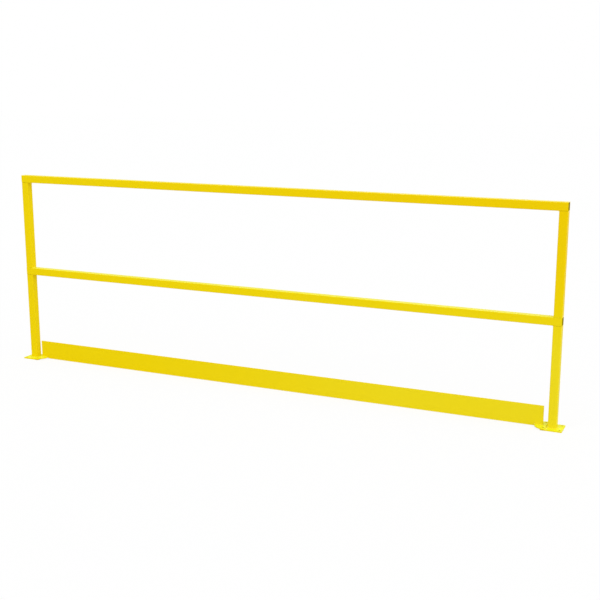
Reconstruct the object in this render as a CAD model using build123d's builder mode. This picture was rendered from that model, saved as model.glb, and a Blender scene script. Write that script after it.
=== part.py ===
from build123d import *

import math
import os

# Industrial guard rail, one ten-foot section. Two full-length square tubes run over and through
# the posts, and a toe board stands between them on half-round feet that share the anchor bolts.
# Millimetres, +Z up. X runs along the rail, -Y is the side that faces the aisle, and the origin
# lies on the floor under the middle of the section.

os.makedirs("parts", exist_ok=True)

# Overall sizes
RAIL_LENGTH = 3048.0
RAIL_HEIGHT = 1066.8
MID_RAIL_TOP = 537.4

# Square tube that the rails and the posts are cut from
TUBE_SIZE = 40.0
TUBE_WALL = 2.1
BORE_CORNER_RADIUS = 0.9
TUBE_DEBURR = 0.4

# Base plates, drilled for four floor anchors on a square about the post
PLATE_THICKNESS = 6.35
PLATE_CORNER_RADIUS = 3.0
PLATE_RIM = 7.15
BOLT_HOLE_DIAMETER = 11.1

# Half-round feet of the toe board. They lie on the base plates and share the inner two anchors.
FOOT_THICKNESS = 4.76
FOOT_TO_WELD = 5.35
FOOT_STRAIGHT_RIM = 4.0
FOOT_ROUND_RIM = 12.3

# Toe board, a flat bar on edge
BOARD_HEIGHT = 101.6
BOARD_THICKNESS = 4.76
BOARD_TO_FLOOR = 3.2
BOARD_TO_FOOT_EDGE = 15.9
BOARD_CORNER_RADIUS = 2.0
NOTCH_CLEARANCE = 1.5

# Edges and weld metal
EDGE_CHAMFER = 0.8
BASE_WELD_LEG = 3.2
JOINT_WELD_LEG = 3.2
TOE_WELD_LEG = 3.2
TOE_WELD_TO_TIP = 9.2
WELD_TOE_LAND = 0.4
GROOVE_RECESS = 1.2

# Sizes that follow: the tube's section, then from the post outwards to the holes and the edges
TUBE_BORE = TUBE_SIZE - 2 * TUBE_WALL
TUBE_CORNER_RADIUS = BORE_CORNER_RADIUS + TUBE_WALL
HOLE_RADIUS = BOLT_HOLE_DIAMETER / 2
POST_TO_FOOT = BASE_WELD_LEG + FOOT_TO_WELD
BOLT_TO_FOOT_EDGE = FOOT_STRAIGHT_RIM + HOLE_RADIUS
BOLT_SPACING = TUBE_SIZE + 2 * (POST_TO_FOOT + BOLT_TO_FOOT_EDGE)
PLATE_SIZE = BOLT_SPACING + 2 * (HOLE_RADIUS + PLATE_RIM)
FOOT_RADIUS = math.hypot(BOLT_SPACING / 2, BOLT_TO_FOOT_EDGE) + HOLE_RADIUS + FOOT_ROUND_RIM

# Places that follow, on the right-hand half
TOP_RAIL_UNDERSIDE = RAIL_HEIGHT - TUBE_SIZE
MID_RAIL_UNDERSIDE = MID_RAIL_TOP - TUBE_SIZE
FOOT_TOP = PLATE_THICKNESS + FOOT_THICKNESS
POST_X = RAIL_LENGTH / 2 - TUBE_SIZE / 2
POST_INNER_X = POST_X - TUBE_SIZE / 2
INNER_BOLT_X = POST_X - BOLT_SPACING / 2
FOOT_EDGE_X = POST_INNER_X - POST_TO_FOOT
FOOT_TIP_X = FOOT_EDGE_X - FOOT_RADIUS
BOARD_END_X = FOOT_EDGE_X - BOARD_TO_FOOT_EDGE
NOTCH_LENGTH = BOARD_END_X - FOOT_TIP_X + NOTCH_CLEARANCE
NOTCH_HEIGHT = FOOT_TOP - BOARD_TO_FLOOR
TOE_WELD_LENGTH = BOARD_END_X - FOOT_TIP_X - TOE_WELD_TO_TIP

SIDES = {"left": -1, "right": 1}


def draw_tube_section():
    """Draw the hollow section of the square tube in the open sketch."""
    RectangleRounded(TUBE_SIZE, TUBE_SIZE, TUBE_CORNER_RADIUS)
    RectangleRounded(TUBE_BORE, TUBE_BORE, BORE_CORNER_RADIUS, mode=Mode.SUBTRACT)


def save(part, label):
    """Name a finished piece and write its file."""
    part.label = label
    export_step(part, f"parts/{label}.step")


def make_rail(label, underside):
    """A full-length tube with both ends sawn square, left open and deburred."""
    left_end = Plane(
        origin=(-RAIL_LENGTH / 2, 0, underside + TUBE_SIZE / 2), x_dir=(0, 1, 0), z_dir=(1, 0, 0)
    )
    with BuildPart() as rail:
        with BuildSketch(left_end):
            draw_tube_section()
        extrude(amount=RAIL_LENGTH)
        across = rail.edges().group_by(Axis.X)
        chamfer(across[0] + across[-1], length=TUBE_DEBURR)
    save(rail.part, label)


def make_post(label, side, bottom, top):
    """A length of tube that stands between two levels in the post's line."""
    with BuildPart() as post:
        with BuildSketch(Plane.XY.offset(bottom).move(Location((side * POST_X, 0, 0)))):
            draw_tube_section()
        extrude(amount=top - bottom)
    save(post.part, label)


def make_base_plate(label, side):
    """A square plate centred under the post, drilled for four floor anchors."""
    under_post = Location((side * POST_X, 0, 0))
    with BuildPart() as plate:
        with BuildSketch(Plane.XY.move(under_post)):
            RectangleRounded(PLATE_SIZE, PLATE_SIZE, PLATE_CORNER_RADIUS)
            with GridLocations(BOLT_SPACING, BOLT_SPACING, 2, 2):
                Circle(HOLE_RADIUS, mode=Mode.SUBTRACT)
        extrude(amount=PLATE_THICKNESS)
        top_face = plate.faces().sort_by(Axis.Z)[-1]
        chamfer(top_face.outer_wire().edges(), length=EDGE_CHAMFER)
    save(plate.part, label)


def make_toe_foot(label, side):
    """Half of a round plate: its straight edge faces the post, and two holes share the anchors."""
    start_angle = 90 if side > 0 else -90
    with BuildPart() as foot:
        with BuildSketch(Plane.XY.offset(PLATE_THICKNESS)):
            with BuildLine():
                arc = CenterArc((side * FOOT_EDGE_X, 0), FOOT_RADIUS, start_angle, 180)
                Line(arc @ 1, arc @ 0)
            make_face()
            with Locations((side * INNER_BOLT_X, 0)):
                with GridLocations(0, BOLT_SPACING, 1, 2):
                    Circle(HOLE_RADIUS, mode=Mode.SUBTRACT)
        extrude(amount=FOOT_THICKNESS)
        top_face = foot.faces().sort_by(Axis.Z)[-1]
        chamfer(top_face.outer_wire().edges(), length=EDGE_CHAMFER)
    save(foot.part, label)


def make_toe_board(label):
    """A flat bar on edge, notched at its lower corners where it stands on the feet."""
    with BuildPart() as board:
        with BuildSketch(Plane.XZ.offset(-BOARD_THICKNESS / 2)) as outline:
            with Locations((0, BOARD_TO_FLOOR + BOARD_HEIGHT / 2)):
                Rectangle(2 * BOARD_END_X, BOARD_HEIGHT)
            fillet(outline.vertices().group_by(Axis.Y)[-1], radius=BOARD_CORNER_RADIUS)
            with Locations(
                (-BOARD_END_X + NOTCH_LENGTH / 2, FOOT_TOP - NOTCH_HEIGHT / 2),
                (BOARD_END_X - NOTCH_LENGTH / 2, FOOT_TOP - NOTCH_HEIGHT / 2),
            ):
                Rectangle(NOTCH_LENGTH, NOTCH_HEIGHT, mode=Mode.SUBTRACT)
        extrude(amount=BOARD_THICKNESS)
        rim = board.edges().filter_by(Axis.X).group_by(Axis.Z)[-1]
        chamfer(rim, length=EDGE_CHAMFER)
    save(board.part, label)


def make_base_weld(label, side):
    """A fillet bead all round the foot of the post, on top of the base plate."""
    on_plate = Plane.XY.offset(PLATE_THICKNESS).move(Location((side * POST_X, 0, 0)))
    wide = TUBE_SIZE + 2 * BASE_WELD_LEG
    narrow = TUBE_SIZE + 2 * WELD_TOE_LAND
    with BuildPart() as bead:
        with BuildSketch(on_plate):
            RectangleRounded(wide, wide, TUBE_CORNER_RADIUS + BASE_WELD_LEG)
        with BuildSketch(on_plate.offset(BASE_WELD_LEG)):
            RectangleRounded(narrow, narrow, TUBE_CORNER_RADIUS + WELD_TOE_LAND)
        loft()
        with BuildSketch(on_plate):
            RectangleRounded(TUBE_SIZE, TUBE_SIZE, TUBE_CORNER_RADIUS)
        extrude(amount=BASE_WELD_LEG, mode=Mode.SUBTRACT)
    save(bead.part, label)


def make_joint_weld(label, side, joint_z, rail_above):
    """Beads where a post meets a rail.

    Front and back beads lie a little below the faces, in the grooves that the rail's rounded
    corners leave over the end of the post. The third is a fillet in the corner under or over
    the rail, on the side of the post that faces the middle.
    """
    up = 1 if rail_above else -1
    post_end = Plane(origin=(side * POST_X, 0, joint_z), x_dir=(1, 0, 0), z_dir=(0, 0, up))
    rail_middle = Plane(
        origin=(side * POST_X, 0, joint_z + up * TUBE_SIZE / 2), x_dir=(0, 1, 0), z_dir=(1, 0, 0)
    )
    groove_width = TUBE_SIZE - 2 * GROOVE_RECESS
    flat_width = TUBE_SIZE - 2 * TUBE_CORNER_RADIUS
    inner_x = side * POST_INNER_X
    fillet_start = Plane(origin=(0, -flat_width / 2, 0), x_dir=(1, 0, 0), z_dir=(0, -1, 0))
    with BuildPart() as beads:
        with BuildSketch(post_end):
            RectangleRounded(groove_width, groove_width, TUBE_CORNER_RADIUS - GROOVE_RECESS)
            RectangleRounded(TUBE_BORE, TUBE_BORE, BORE_CORNER_RADIUS, mode=Mode.SUBTRACT)
        extrude(amount=TUBE_CORNER_RADIUS)
        with BuildSketch(rail_middle):
            RectangleRounded(TUBE_SIZE, TUBE_SIZE, TUBE_CORNER_RADIUS)
        extrude(amount=TUBE_SIZE, both=True, mode=Mode.SUBTRACT)
        with BuildSketch(fillet_start):
            with BuildLine():
                Polyline(
                    (inner_x, joint_z),
                    (inner_x - side * JOINT_WELD_LEG, joint_z),
                    (inner_x, joint_z - up * JOINT_WELD_LEG),
                    close=True,
                )
            make_face()
        extrude(amount=-flat_width)
    save(beads.part, label)


def make_toe_weld(label, side):
    """Fillet beads between the foot and the two faces of the toe board."""
    bead_start = Plane(
        origin=(side * BOARD_END_X, 0, FOOT_TOP), x_dir=(0, 1, 0), z_dir=(-side, 0, 0)
    )
    up = bead_start.y_dir.Z
    with BuildPart() as beads:
        for face in (-1, 1):
            face_y = face * BOARD_THICKNESS / 2
            with BuildSketch(bead_start):
                with BuildLine():
                    Polyline(
                        (face_y, 0),
                        (face_y + face * TOE_WELD_LEG, 0),
                        (face_y, up * TOE_WELD_LEG),
                        close=True,
                    )
                make_face()
            extrude(amount=TOE_WELD_LENGTH)
    save(beads.part, label)


make_rail("top_rail", TOP_RAIL_UNDERSIDE)
make_rail("mid_rail", MID_RAIL_UNDERSIDE)
make_toe_board("toe_board")

for name, side in SIDES.items():
    make_post(f"{name}_lower_post", side, PLATE_THICKNESS, MID_RAIL_UNDERSIDE)
    make_post(f"{name}_upper_post", side, MID_RAIL_TOP, TOP_RAIL_UNDERSIDE)
    make_base_plate(f"{name}_base_plate", side)
    make_toe_foot(f"{name}_toe_foot", side)
    make_base_weld(f"{name}_base_weld", side)
    make_joint_weld(f"{name}_lower_joint_weld", side, MID_RAIL_UNDERSIDE, rail_above=True)
    make_joint_weld(f"{name}_middle_joint_weld", side, MID_RAIL_TOP, rail_above=False)
    make_joint_weld(f"{name}_top_joint_weld", side, TOP_RAIL_UNDERSIDE, rail_above=True)
    make_toe_weld(f"{name}_toe_weld", side)
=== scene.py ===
"""Looks of the industrial guard rail: yellow powder coat over welded square tube, and weld beads."""

import math
import random

import bmesh
import bpy
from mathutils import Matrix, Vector


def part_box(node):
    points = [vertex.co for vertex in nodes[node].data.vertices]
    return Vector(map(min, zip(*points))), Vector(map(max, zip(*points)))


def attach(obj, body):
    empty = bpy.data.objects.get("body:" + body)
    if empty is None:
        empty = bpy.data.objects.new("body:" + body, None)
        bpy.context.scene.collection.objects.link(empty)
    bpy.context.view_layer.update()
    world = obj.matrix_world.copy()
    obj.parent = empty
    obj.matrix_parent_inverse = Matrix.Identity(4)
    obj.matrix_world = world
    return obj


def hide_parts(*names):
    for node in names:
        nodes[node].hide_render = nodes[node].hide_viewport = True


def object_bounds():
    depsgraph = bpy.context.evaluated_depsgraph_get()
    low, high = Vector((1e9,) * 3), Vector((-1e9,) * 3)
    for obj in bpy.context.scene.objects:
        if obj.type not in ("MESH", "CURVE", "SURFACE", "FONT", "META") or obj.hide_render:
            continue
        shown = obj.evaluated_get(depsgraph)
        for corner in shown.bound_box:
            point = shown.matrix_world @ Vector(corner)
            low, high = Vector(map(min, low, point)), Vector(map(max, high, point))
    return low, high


# Everything is in metres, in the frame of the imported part: X along the rails, +Z up,
# and the camera on the -Y side.
MM = 0.001
QUARTER_TURN = math.pi / 2

# Camera, fitted to the straight edges of the photograph
IMAGE_SIDE_PX = 600
FOCAL_LENGTH_PX = 1032.4
SENSOR_WIDTH_MM = 36.0
CAMERA_PLACE = Vector((2.344, -4.684, 1.623))
CAMERA_PITCH = math.radians(12.315)
CAMERA_YAW = math.radians(24.600)
CAMERA_REACH = 100.0

# Paint, as linear colours. The shades are what the yellow passes through as it drifts, a drift that
# is painted light. It is pooled on the weld beads, and on the beads in the grooves it is painted shade.
PAINT_DEEP = (0.865, 0.610, 0.001, 1.0)
PAINT_MIDDLE = (0.858, 0.655, 0.0015, 1.0)
PAINT_LEMON = (0.852, 0.700, 0.012, 1.0)
PAINT_SHADES = (PAINT_DEEP, PAINT_MIDDLE, PAINT_LEMON)
PAINT_POOLED = (0.840, 0.615, 0.002, 1.0)
# Dark painted shade on the beads in the grooves, for the shadow line at the rail joints.
PAINT_GROOVE_SHADE = (0.160, 0.115, 0.005, 1.0)
PAINT_SPECULAR = 0.03
PAINT_ROUGHNESS = (0.30, 0.40)

# Painted highlight: paler paint on faces that look up, standing in for the stronger light on tops. It
# comes in while the normal's Z goes from one value to the other. The share says how much of it a
# piece has, and pieces that aren't named have all of it.
PAINT_TOP_HIGHLIGHT = (0.855, 0.794, 0.041, 1.0)
PLATE_TOP_HIGHLIGHT = (0.860, 0.865, 0.016, 1.0)
TOP_HIGHLIGHT_FROM_TO = (0.35, 0.95)
TOP_HIGHLIGHT_SHARE = {"top_rail": 0.55, "mid_rail": 1.0, "toe_board": 0.0}

# Painted light: a drift from deep yellow to lemon, standing in for paler light low down near the right
# end. Its share at the left end, and the levels between which its direction turns over. Under them it
# grows towards the right end, and over them it fades.
PAINTED_LIGHT_AT_LEFT = 0.45
PAINTED_LIGHT_LEVELS = (0.30, 0.85)
DRIFT_MOTTLE = 0.30

# Fine structure of the paint. A noise is its scale, detail and roughness.
MOTTLE_NOISE = (2.2, 4.0, 0.55)
MOTTLE_FROM_TO = (0.35, 0.65)
PEEL_NOISE = (430.0, 2.0, 0.45)
GRAIN_NOISE = (1900.0, 1.0, 0.5)
GRAIN_SHARE = 0.18
PEEL_HEIGHT = 0.02 * MM

# Square tube: what the boxes of its nodes don't tell
TUBE_WALL = 2.1 * MM
TUBE_CORNER = 3.0 * MM

# Bores of the rails: bare steel, and overspray at their mouths with a ragged edge, both partly darkened
# as painted shade for the inside of the tube. The last pair says how far past the bore's surface, on
# the tube's end, the paint comes in.
OVERSPRAY_AND_SHADE = (0.500, 0.392, 0.013, 1.0)
MILL_STEEL_AND_SHADE = (0.060, 0.052, 0.034, 1.0)
OVERSPRAY_FULL = 6.0 * MM
OVERSPRAY_REACH = 22.0 * MM
RAGGED_NOISE = (160.0, 3.0, 0.6)
RAGGED_BY = 6.0 * MM
BORE_EDGE = (0.1 * MM, 0.5 * MM)

# Weld beads. Their legs wander by a sum of waves, each with a whole count over the bead.
RIPPLE_PITCH = 1.6 * MM
RIPPLE_SAMPLES = 7
RIPPLE_HEIGHT = 0.20 * MM
RIPPLE_MEAN = 2 / math.pi
RIPPLE_LAG = 0.42
BEAD_ACROSS = 9
BEAD_SINK = 0.05 * MM
BEAD_WANDER = 0.05
WANDER_WAVES = 4
WANDER_COUNTS = (2, 9)
WANDER_TURN = 1.7
BEAD_SWELL = 0.35 * MM
GROOVE_SWELL = 0.12 * MM
GROOVE_RIPPLE = 0.5
END_ROUNDING = 2.2 * MM
END_START = 0.25
CRATER_DEPTH = 0.25 * MM
CRATER_PLACE = 1.9 * MM
CRATER_WIDTH = 0.9 * MM
LAP_SWELL = 0.30 * MM
LAP_WIDTH = 2.5 * MM

# Light
WORLD_LIGHT = 0.76
KEY_STRENGTH = 0.92
KEY_FROM = Vector((0.03, -0.38, 0.55))
FILL_STRENGTH = 0.80
FILL_FROM = Vector((0.90, -0.25, 0.30))
BACK_STRENGTH = 0.30
BACK_FROM = Vector((0.10, 1.00, 0.03))
LAMP_ANGLE = math.radians(60)

# Floor: its own brightness where it is seen and where it lights the part, and its share of white
FLOOR_SIDE = 60.0
FLOOR_ROUGHNESS = 0.9
FLOOR_SEEN = 0.90
FLOOR_BOUNCE = 0.69
FLOOR_WHITE_SHARE = 0.86

# Places of a Mix node's sockets for colours. Its sockets for other kinds have the same names.
MIX_FACTOR = 0
MIX_FIRST = 6
MIX_SECOND = 7
MIX_RESULT = 2

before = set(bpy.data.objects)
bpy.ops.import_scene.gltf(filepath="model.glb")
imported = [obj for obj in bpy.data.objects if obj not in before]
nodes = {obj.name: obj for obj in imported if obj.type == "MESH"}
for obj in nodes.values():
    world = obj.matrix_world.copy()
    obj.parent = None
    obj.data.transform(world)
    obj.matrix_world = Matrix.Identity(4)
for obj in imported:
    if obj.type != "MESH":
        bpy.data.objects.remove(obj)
cad_low, cad_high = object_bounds()


# Shader nodes


def add_node(tree, kind, **settings):
    """Add a shader node and set its properties, or its inputs where no property has that name."""
    node = tree.nodes.new(kind)
    for name, value in settings.items():
        if hasattr(node, name):
            setattr(node, name, value)
        else:
            node.inputs[name.replace("_", " ")].default_value = value
    return node


def feed(tree, value, socket):
    """Give an input socket a value, or link another node's output to it."""
    if isinstance(value, bpy.types.NodeSocket):
        tree.links.new(value, socket)
    else:
        socket.default_value = value


def add_math(tree, operation, *values, clamp=False):
    """Add a math node whose inputs are given as numbers or as sockets, and return its output."""
    node = add_node(tree, "ShaderNodeMath", operation=operation, use_clamp=clamp)
    for value, socket in zip(values, node.inputs):
        feed(tree, value, socket)
    return node.outputs["Value"]


def add_colour_mix(tree, share, first, second):
    """Mix two colours, given as values or as sockets, by the share of the second."""
    node = add_node(tree, "ShaderNodeMix", data_type="RGBA")
    tree.links.new(share, node.inputs[MIX_FACTOR])
    feed(tree, first, node.inputs[MIX_FIRST])
    feed(tree, second, node.inputs[MIX_SECOND])
    return node.outputs[MIX_RESULT]


def add_gradient(tree, share, shades):
    """Pass through the colours in even steps while the share goes from 0 to 1."""
    colour = shades[0]
    steps = len(shades) - 1
    for i in range(steps):
        step_share = add_math(tree, "MULTIPLY_ADD", share, steps, -i, clamp=True)
        colour = add_colour_mix(tree, step_share, colour, shades[i + 1])
    return colour


def add_ramp(tree, value, low, high, at_low=0.0, at_high=1.0):
    """Go smoothly from one value to another while the input goes from low to high."""
    node = add_node(tree, "ShaderNodeMapRange", interpolation_type="SMOOTHSTEP")
    for name, setting in (("From Min", low), ("From Max", high), ("To Min", at_low), ("To Max", at_high)):
        node.inputs[name].default_value = setting
    tree.links.new(value, node.inputs["Value"])
    return node.outputs["Result"]


def add_noise(tree, place, scale, detail, roughness):
    """A noise texture's value at the place."""
    noise = add_node(tree, "ShaderNodeTexNoise", Scale=scale, Detail=detail, Roughness=roughness)
    tree.links.new(place, noise.inputs["Vector"])
    return noise.outputs["Fac"]


def split_axes(tree, vector):
    """A vector's X, Y and Z, as sockets by name."""
    axes = add_node(tree, "ShaderNodeSeparateXYZ")
    tree.links.new(vector, axes.inputs["Vector"])
    return axes.outputs


def start_material(name):
    """A material with a plain Principled shader, and its node tree and shader."""
    material = bpy.data.materials.new(name)
    material.use_nodes = True
    tree = material.node_tree
    shader = tree.nodes["Principled BSDF"]
    return material, tree, shader


# Powder coat


def add_orange_peel(tree, shader, place):
    """The fine waviness of a powder coat, with a finer grain in it, as bump."""
    waves = add_noise(tree, place, *PEEL_NOISE)
    grain = add_noise(tree, place, *GRAIN_NOISE)
    bump = add_node(tree, "ShaderNodeBump", Strength=1.0, Distance=PEEL_HEIGHT)
    tree.links.new(add_math(tree, "MULTIPLY_ADD", grain, GRAIN_SHARE, waves), bump.inputs["Height"])
    tree.links.new(bump.outputs["Normal"], shader.inputs["Normal"])


def add_painted_light_drift(tree, place, mottle):
    """Painted light: how far the yellow has gone towards lemon, slowly over the section's length and
    height, with a random speckle.
    """
    axes = split_axes(tree, place)
    # Painted light: lemon grows towards the right end low down, and fades high up.
    along = add_ramp(tree, axes["X"], cad_low.x, cad_high.x)
    tilt = add_ramp(tree, axes["Z"], *PAINTED_LIGHT_LEVELS, 1 - PAINTED_LIGHT_AT_LEFT, -PAINTED_LIGHT_AT_LEFT)
    painted_light = add_math(tree, "MULTIPLY_ADD", along, tilt, PAINTED_LIGHT_AT_LEFT)
    speckle = add_math(tree, "MULTIPLY_ADD", mottle, DRIFT_MOTTLE, -DRIFT_MOTTLE / 2)
    return add_math(tree, "ADD", painted_light, speckle, clamp=True)


def add_powder_coat(tree, shader, place, shades, top_highlight=1.0, pale=PAINT_TOP_HIGHLIGHT):
    """Give the shader the paint's gloss and peel, and return its colour, with a painted highlight on
    upward faces.
    """
    mottle = add_noise(tree, place, *MOTTLE_NOISE)
    gloss = add_ramp(tree, mottle, *MOTTLE_FROM_TO, *PAINT_ROUGHNESS)
    tree.links.new(gloss, shader.inputs["Roughness"])
    shader.inputs["Specular IOR Level"].default_value = PAINT_SPECULAR
    add_orange_peel(tree, shader, place)
    colour = add_gradient(tree, add_painted_light_drift(tree, place, mottle), shades)
    normal = split_axes(tree, add_node(tree, "ShaderNodeNewGeometry").outputs["Normal"])
    # Painted highlight: paler paint where the normal looks up.
    upward = add_ramp(tree, normal["Z"], *TOP_HIGHLIGHT_FROM_TO, 0.0, top_highlight)
    return add_colour_mix(tree, upward, colour, pale)


def make_powder_coat(name, shades, top_highlight=1.0, pale=PAINT_TOP_HIGHLIGHT):
    """Powder coat for every piece but the rails."""
    material, tree, shader = start_material(name)
    place = add_node(tree, "ShaderNodeTexCoord").outputs["Object"]
    colour = add_powder_coat(tree, shader, place, shades, top_highlight, pale)
    tree.links.new(colour, shader.inputs["Base Color"])
    return material


def make_open_tube_coat(rail):
    """Powder coat outside, and in the bore bare mill steel with a little overspray at its mouths, both
    partly painted shade.
    """
    low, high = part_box(rail)
    middle_z = (low.z + high.z) / 2
    half_bore = (high.z - low.z) / 2 - TUBE_WALL
    material, tree, shader = start_material(rail + "_coat")
    place = add_node(tree, "ShaderNodeTexCoord").outputs["Object"]
    axes = split_axes(tree, place)

    from_side = add_math(tree, "ABSOLUTE", axes["Y"])
    from_level = add_math(tree, "ABSOLUTE", add_math(tree, "SUBTRACT", axes["Z"], middle_z))
    from_axis = add_math(tree, "MAXIMUM", from_side, from_level)
    edge_from, edge_to = BORE_EDGE
    inside = add_ramp(tree, from_axis, half_bore + edge_from, half_bore + edge_to, 1.0, 0.0)

    ragged = add_math(tree, "MULTIPLY", add_noise(tree, place, *RAGGED_NOISE), RAGGED_BY)
    reach = add_math(tree, "ADD", add_math(tree, "ABSOLUTE", axes["X"]), ragged)
    mean_ragged = RAGGED_BY / 2
    full_to = high.x + mean_ragged - OVERSPRAY_FULL
    bare_and_shade = add_ramp(tree, reach, full_to, full_to - OVERSPRAY_REACH)
    # The bore's steel and overspray are dark partly as painted shade inside the tube.
    bore = add_colour_mix(tree, bare_and_shade, OVERSPRAY_AND_SHADE, MILL_STEEL_AND_SHADE)

    outside = add_powder_coat(tree, shader, place, PAINT_SHADES, TOP_HIGHLIGHT_SHARE[rail])
    tree.links.new(add_colour_mix(tree, inside, outside, bore), shader.inputs["Base Color"])
    return material


# Studio


def add_seen_rays(tree):
    """1 for rays that come from the camera, a mirror-like surface or glass, else 0."""
    path = add_node(tree, "ShaderNodeLightPath")
    direct = add_math(tree, "MAXIMUM", path.outputs["Is Camera Ray"], path.outputs["Is Glossy Ray"])
    return add_math(tree, "MAXIMUM", direct, path.outputs["Is Transmission Ray"])


def make_floor():
    """A pale floor that reads as white to the camera and keeps the soft shadow of the part."""
    bpy.ops.mesh.primitive_plane_add(size=FLOOR_SIDE)
    floor = bpy.context.active_object
    floor.name = "studio_floor"
    material, tree, shader = start_material("studio_floor_white")
    shader.inputs["Roughness"].default_value = FLOOR_ROUGHNESS
    shader.inputs["Specular IOR Level"].default_value = 0.0
    seen = add_seen_rays(tree)
    bounce = (FLOOR_BOUNCE, FLOOR_BOUNCE, FLOOR_BOUNCE, 1.0)
    pale = (FLOOR_SEEN, FLOOR_SEEN, FLOOR_SEEN, 1.0)
    tree.links.new(add_colour_mix(tree, seen, bounce, pale), shader.inputs["Base Color"])
    glow = add_node(tree, "ShaderNodeEmission", Strength=1.0)
    mix = add_node(tree, "ShaderNodeMixShader")
    tree.links.new(add_math(tree, "MULTIPLY", seen, FLOOR_WHITE_SHARE), mix.inputs["Fac"])
    tree.links.new(shader.outputs["BSDF"], mix.inputs[1])
    tree.links.new(glow.outputs["Emission"], mix.inputs[2])
    tree.links.new(mix.outputs["Shader"], tree.nodes["Material Output"].inputs["Surface"])
    floor.data.materials.append(material)


def make_world():
    """White where it is seen, and a plain even light elsewhere."""
    world = bpy.data.worlds.new("studio")
    world.use_nodes = True
    tree = world.node_tree
    background = tree.nodes["Background"]
    background.inputs["Color"].default_value = (1.0, 1.0, 1.0, 1.0)
    light = add_math(tree, "MAXIMUM", add_seen_rays(tree), WORLD_LIGHT)
    tree.links.new(light, background.inputs["Strength"])
    bpy.context.scene.world = world


def make_lamp(name, strength, comes_from):
    """One very soft lamp, far away in the given direction."""
    lamp = bpy.data.lights.new(name, "SUN")
    lamp.energy = strength
    lamp.angle = LAMP_ANGLE
    softbox = bpy.data.objects.new(name, lamp)
    softbox.rotation_mode = "QUATERNION"
    softbox.rotation_quaternion = comes_from.to_track_quat("Z", "Y")
    bpy.context.scene.collection.objects.link(softbox)


def make_camera():
    """The photograph's viewpoint."""
    data = bpy.data.cameras.new("photo_camera")
    data.sensor_width = SENSOR_WIDTH_MM
    data.lens = FOCAL_LENGTH_PX / IMAGE_SIDE_PX * SENSOR_WIDTH_MM
    data.clip_end = CAMERA_REACH
    camera = bpy.data.objects.new("photo_camera", data)
    towards = Vector((
        -math.sin(CAMERA_YAW) * math.cos(CAMERA_PITCH),
        math.cos(CAMERA_YAW) * math.cos(CAMERA_PITCH),
        -math.sin(CAMERA_PITCH),
    ))
    camera.location = CAMERA_PLACE
    camera.rotation_mode = "QUATERNION"
    camera.rotation_quaternion = towards.to_track_quat("-Z", "Y")
    bpy.context.scene.collection.objects.link(camera)
    bpy.context.scene.camera = camera


# Weld beads


class Bead:
    """The shape of one bead: its uneven legs, rounded or lapped ends, crown and ripples."""

    def __init__(self, seed, length, closed, swell, ripple=1.0):
        hand = random.Random(seed)
        self.length = length
        self.closed = closed
        self.swell = swell
        self.ripple = ripple
        self.ripples = max(1, round(length / RIPPLE_PITCH))
        self.waves = [
            (hand.randint(*WANDER_COUNTS), hand.uniform(0, math.tau)) for _ in range(WANDER_WAVES)
        ]

    def unevenness(self, share, turn):
        """How far the leg departs from its true length there, as a share of it."""
        total = sum(math.sin(math.tau * count * share + start + turn) for count, start in self.waves)
        return BEAD_WANDER * total / len(self.waves)

    def fullness(self, share):
        """Share of the full section there: small at a rounded end, and 1 along the bead."""
        if self.closed:
            return 1.0
        from_end = min(share, 1 - share) * self.length
        rest = max(0.0, 1 - from_end / END_ROUNDING)
        return END_START + (1 - END_START) * math.sqrt(1 - rest * rest)

    def crown(self, share):
        """Height of the bead's middle over the line between its toes, without ripples."""
        if self.closed:
            from_lap = min(share, 1 - share) * self.length
            return self.swell + LAP_SWELL * math.exp(-((from_lap / LAP_WIDTH) ** 2))
        from_crater = (1 - share) * self.length - CRATER_PLACE
        return self.swell - CRATER_DEPTH * math.exp(-((from_crater / CRATER_WIDTH) ** 2))

    def section(self, share, root, arm_a, arm_b, along):
        """Points from toe to toe over the bead, then its root, all a little sunk in the steel."""
        size = self.fullness(share)
        arm_a = arm_a * size * (1 + self.unevenness(share, 0.0))
        arm_b = arm_b * size * (1 + self.unevenness(share, WANDER_TURN))
        out = (arm_b - arm_a).cross(along).normalized()
        if out.dot(arm_a + arm_b) < 0:
            out = -out
        # In a square corner this puts the root BEAD_SINK deep in both pieces.
        sink = (arm_a + arm_b).normalized() * BEAD_SINK * math.sqrt(2)
        points = []
        for i in range(BEAD_ACROSS):
            t = i / (BEAD_ACROSS - 1)
            arch = 4 * t * (1 - t)
            phase = self.ripples * share + RIPPLE_LAG * arch
            ripple = RIPPLE_HEIGHT * self.ripple * (abs(math.sin(math.pi * phase)) - RIPPLE_MEAN)
            height = size * (arch * self.crown(share) + math.sqrt(arch) * ripple)
            points.append(root + arm_a * (1 - t) + arm_b * t + out * height - sink)
        points.append(root - sink)
        return points


def add_bead(shape, bead, place_at, coat_number=0):
    """Skin one bead into the mesh as a closed shell, with sharp edges at its toes and root.

    place_at gives the root, the two arms and the direction at a share of the bead's length.
    """
    steps = bead.ripples * RIPPLE_SAMPLES
    stations = range(steps) if bead.closed else range(steps + 1)
    rings = []
    for i in stations:
        share = i / steps
        rings.append([shape.verts.new(p) for p in bead.section(share, *place_at(share))])
    count = BEAD_ACROSS + 1
    followers = rings[1:] + rings[:1] if bead.closed else rings[1:]
    for near, far in zip(rings, followers):
        for i in range(count):
            j = (i + 1) % count
            face = shape.faces.new((near[i], near[j], far[j], far[i]))
            face.smooth = True
            face.material_index = coat_number
        for i in (0, BEAD_ACROSS - 1, BEAD_ACROSS):
            shape.edges.get((near[i], far[i])).smooth = False
    if not bead.closed:
        shape.faces.new(rings[0])
        shape.faces.new(rings[-1])


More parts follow.
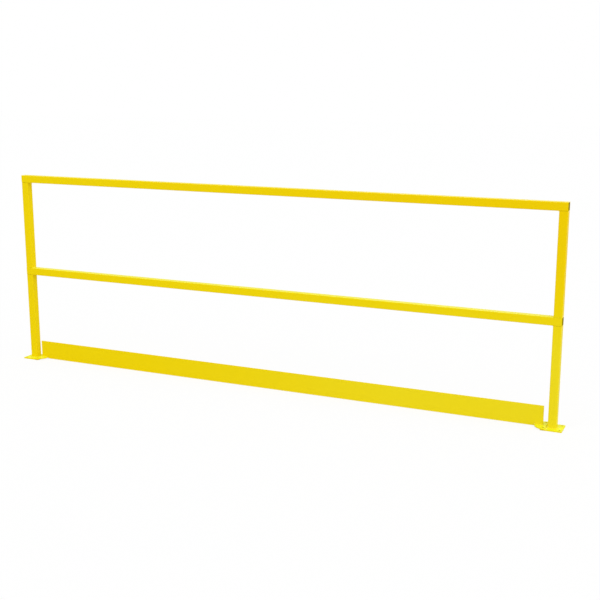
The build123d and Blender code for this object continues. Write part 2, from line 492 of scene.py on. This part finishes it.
def add_straight_bead(shape, seed, start, end, arm_a, arm_b, swell, ripple=1.0, coat_number=0):
    """A bead along a straight corner from start to end."""
    along = (end - start).normalized()

    def place_at(share):
        return start.lerp(end, share), arm_a, arm_b, along

    bead = Bead(seed, (end - start).length, closed=False, swell=swell, ripple=ripple)
    add_bead(shape, bead, place_at, coat_number)


def finish_weld(name, shape, *coats):
    """Turn the beads of one weld into an object that stands for its solids."""
    bmesh.ops.recalc_face_normals(shape, faces=shape.faces[:])
    mesh = bpy.data.meshes.new(name + "_beads")
    shape.to_mesh(mesh)
    shape.free()
    for material in coats:
        mesh.materials.append(material)
    weld = bpy.data.objects.new(name + "_beads", mesh)
    bpy.context.scene.collection.objects.link(weld)
    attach(weld, "root")
    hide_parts(name)


def make_base_weld(side):
    """The fillet round the foot of a post, laid in one go, with a lap where it closes."""
    name = f"{side}_base_weld"
    post_low, post_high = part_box(f"{side}_lower_post")
    weld_low, weld_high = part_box(name)
    leg = weld_high.z - weld_low.z
    middle = (post_low + post_high) / 2
    half_flat = (post_high.x - post_low.x) / 2 - TUBE_CORNER
    turn_radius = TUBE_CORNER + leg / 2
    quarter = 2 * half_flat + turn_radius * QUARTER_TURN

    def place_at(share):
        """Along one flat of the post, round its corner, and so on for the four quarters."""
        quarters_done, rest = divmod(share * 4, 1)
        travelled = rest * quarter
        side_angle = quarters_done * QUARTER_TURN
        turned = max(0.0, travelled - 2 * half_flat) / turn_radius
        angle = side_angle + turned
        out = Vector((math.cos(angle), math.sin(angle), 0.0))
        side_out = Vector((math.cos(side_angle), math.sin(side_angle), 0.0))
        along_side = Vector((-side_out.y, side_out.x, 0.0))
        forward = min(travelled, 2 * half_flat) - half_flat
        centre = Vector((middle.x, middle.y, weld_low.z)) + side_out * half_flat
        root = centre + along_side * forward + out * TUBE_CORNER
        along = Vector((-out.y, out.x, 0.0))
        return root, out * leg, Vector((0.0, 0.0, leg)), along

    shape = bmesh.new()
    add_bead(shape, Bead(name, 4 * quarter, closed=True, swell=BEAD_SWELL), place_at)
    finish_weld(name, shape, weld_coat)


def make_joint_weld(side, level, joint_z, up):
    """Front and back beads in the grooves at a rail's rounded edges, and the fillet on the inside.

    up is 1 where the rail lies over the end of the post, and -1 where the post stands on the rail.
    """
    name = f"{side}_{level}_joint_weld"
    post_low, post_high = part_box(f"{side}_upper_post")
    weld_low, weld_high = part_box(name)
    inward = 1 if side == "left" else -1
    inner_x = post_high.x if side == "left" else post_low.x
    leg = max(weld_high.x - post_high.x, post_low.x - weld_low.x)
    flat = post_high.y - TUBE_CORNER
    shape = bmesh.new()

    corner_start = Vector((inner_x, -flat, joint_z))
    corner_end = Vector((inner_x, flat, joint_z))
    along_rail = Vector((inward * leg, 0.0, 0.0))
    along_post = Vector((0.0, 0.0, -up * leg))
    add_straight_bead(shape, name, corner_start, corner_end, along_rail, along_post, BEAD_SWELL)

    def rail_rise(y):
        """How far the rail's rounded edge stands clear of the end of the post there."""
        return TUBE_CORNER - math.sqrt(TUBE_CORNER**2 - (y - flat) ** 2)

    face_y = weld_high.y
    root_y = post_high.y - TUBE_WALL
    root_rise = up * rail_rise(root_y) / 2
    inset = post_high.y - face_y
    for front in (-1, 1):
        start = Vector((post_low.x + inset, front * root_y, joint_z + root_rise))
        end = Vector((post_high.x - inset, front * root_y, joint_z + root_rise))
        reach = front * (face_y - root_y)
        to_rail = Vector((0.0, reach, up * rail_rise(face_y) - root_rise))
        to_post = Vector((0.0, reach, -root_rise))
        seed = f"{name} {front}"
        # The groove beads take the second coat, a dark painted shade.
        add_straight_bead(
            shape, seed, start, end, to_rail, to_post, GROOVE_SWELL, GROOVE_RIPPLE, coat_number=1
        )
    finish_weld(name, shape, weld_coat, groove_shade_coat)


def make_toe_weld(side):
    """Fillets along both faces of the toe board, on its foot."""
    name = f"{side}_toe_weld"
    weld_low, weld_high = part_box(name)
    board_low, board_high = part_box("toe_board")
    leg = weld_high.y - board_high.y
    up_board = Vector((0.0, 0.0, leg))
    shape = bmesh.new()
    for face_y, out in ((board_low.y, -1), (board_high.y, 1)):
        start = Vector((weld_low.x, face_y, weld_low.z))
        end = Vector((weld_high.x, face_y, weld_low.z))
        over_foot = Vector((0.0, out * leg, 0.0))
        add_straight_bead(shape, f"{name} {out}", start, end, over_foot, up_board, BEAD_SWELL)
    finish_weld(name, shape, weld_coat)


# Paint on every node, with coats of their own for the rails, the toe board, the plates and the feet

coat = make_powder_coat("yellow_powder_coat", PAINT_SHADES)
weld_coat = make_powder_coat("weld_powder_coat", (PAINT_POOLED, PAINT_DEEP))
# Painted shade for the beads in the grooves under and over the rails.
groove_shade_coat = make_powder_coat("groove_painted_shade", (PAINT_GROOVE_SHADE,))
# Plates and feet take a paler painted highlight on their tops.
plate_coat = make_powder_coat("plate_coat", PAINT_SHADES, pale=PLATE_TOP_HIGHLIGHT)
own_coats = {rail: make_open_tube_coat(rail) for rail in ("top_rail", "mid_rail")}
own_coats["toe_board"] = make_powder_coat("toe_board_coat", PAINT_SHADES, TOP_HIGHLIGHT_SHARE["toe_board"])
own_coats.update({name: plate_coat for name in nodes if name.endswith(("base_plate", "toe_foot"))})

for name, node in nodes.items():
    for slot in node.material_slots:
        slot.material = own_coats.get(name, weld_coat if "weld" in name else coat)

# Welds, at the levels where the posts end

for side in ("left", "right"):
    upper_low, upper_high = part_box(f"{side}_upper_post")
    lower_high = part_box(f"{side}_lower_post")[1]
    make_base_weld(side)
    make_joint_weld(side, "lower", lower_high.z, 1)
    make_joint_weld(side, "middle", upper_low.z, -1)
    make_joint_weld(side, "top", upper_high.z, 1)
    make_toe_weld(side)

# Floor, light and camera

make_floor()
make_world()
make_lamp("key_softbox", KEY_STRENGTH, KEY_FROM)
make_lamp("fill_softbox", FILL_STRENGTH, FILL_FROM)
make_lamp("back_softbox", BACK_STRENGTH, BACK_FROM)
make_camera()
bpy.context.scene.view_settings.view_transform = "Standard"
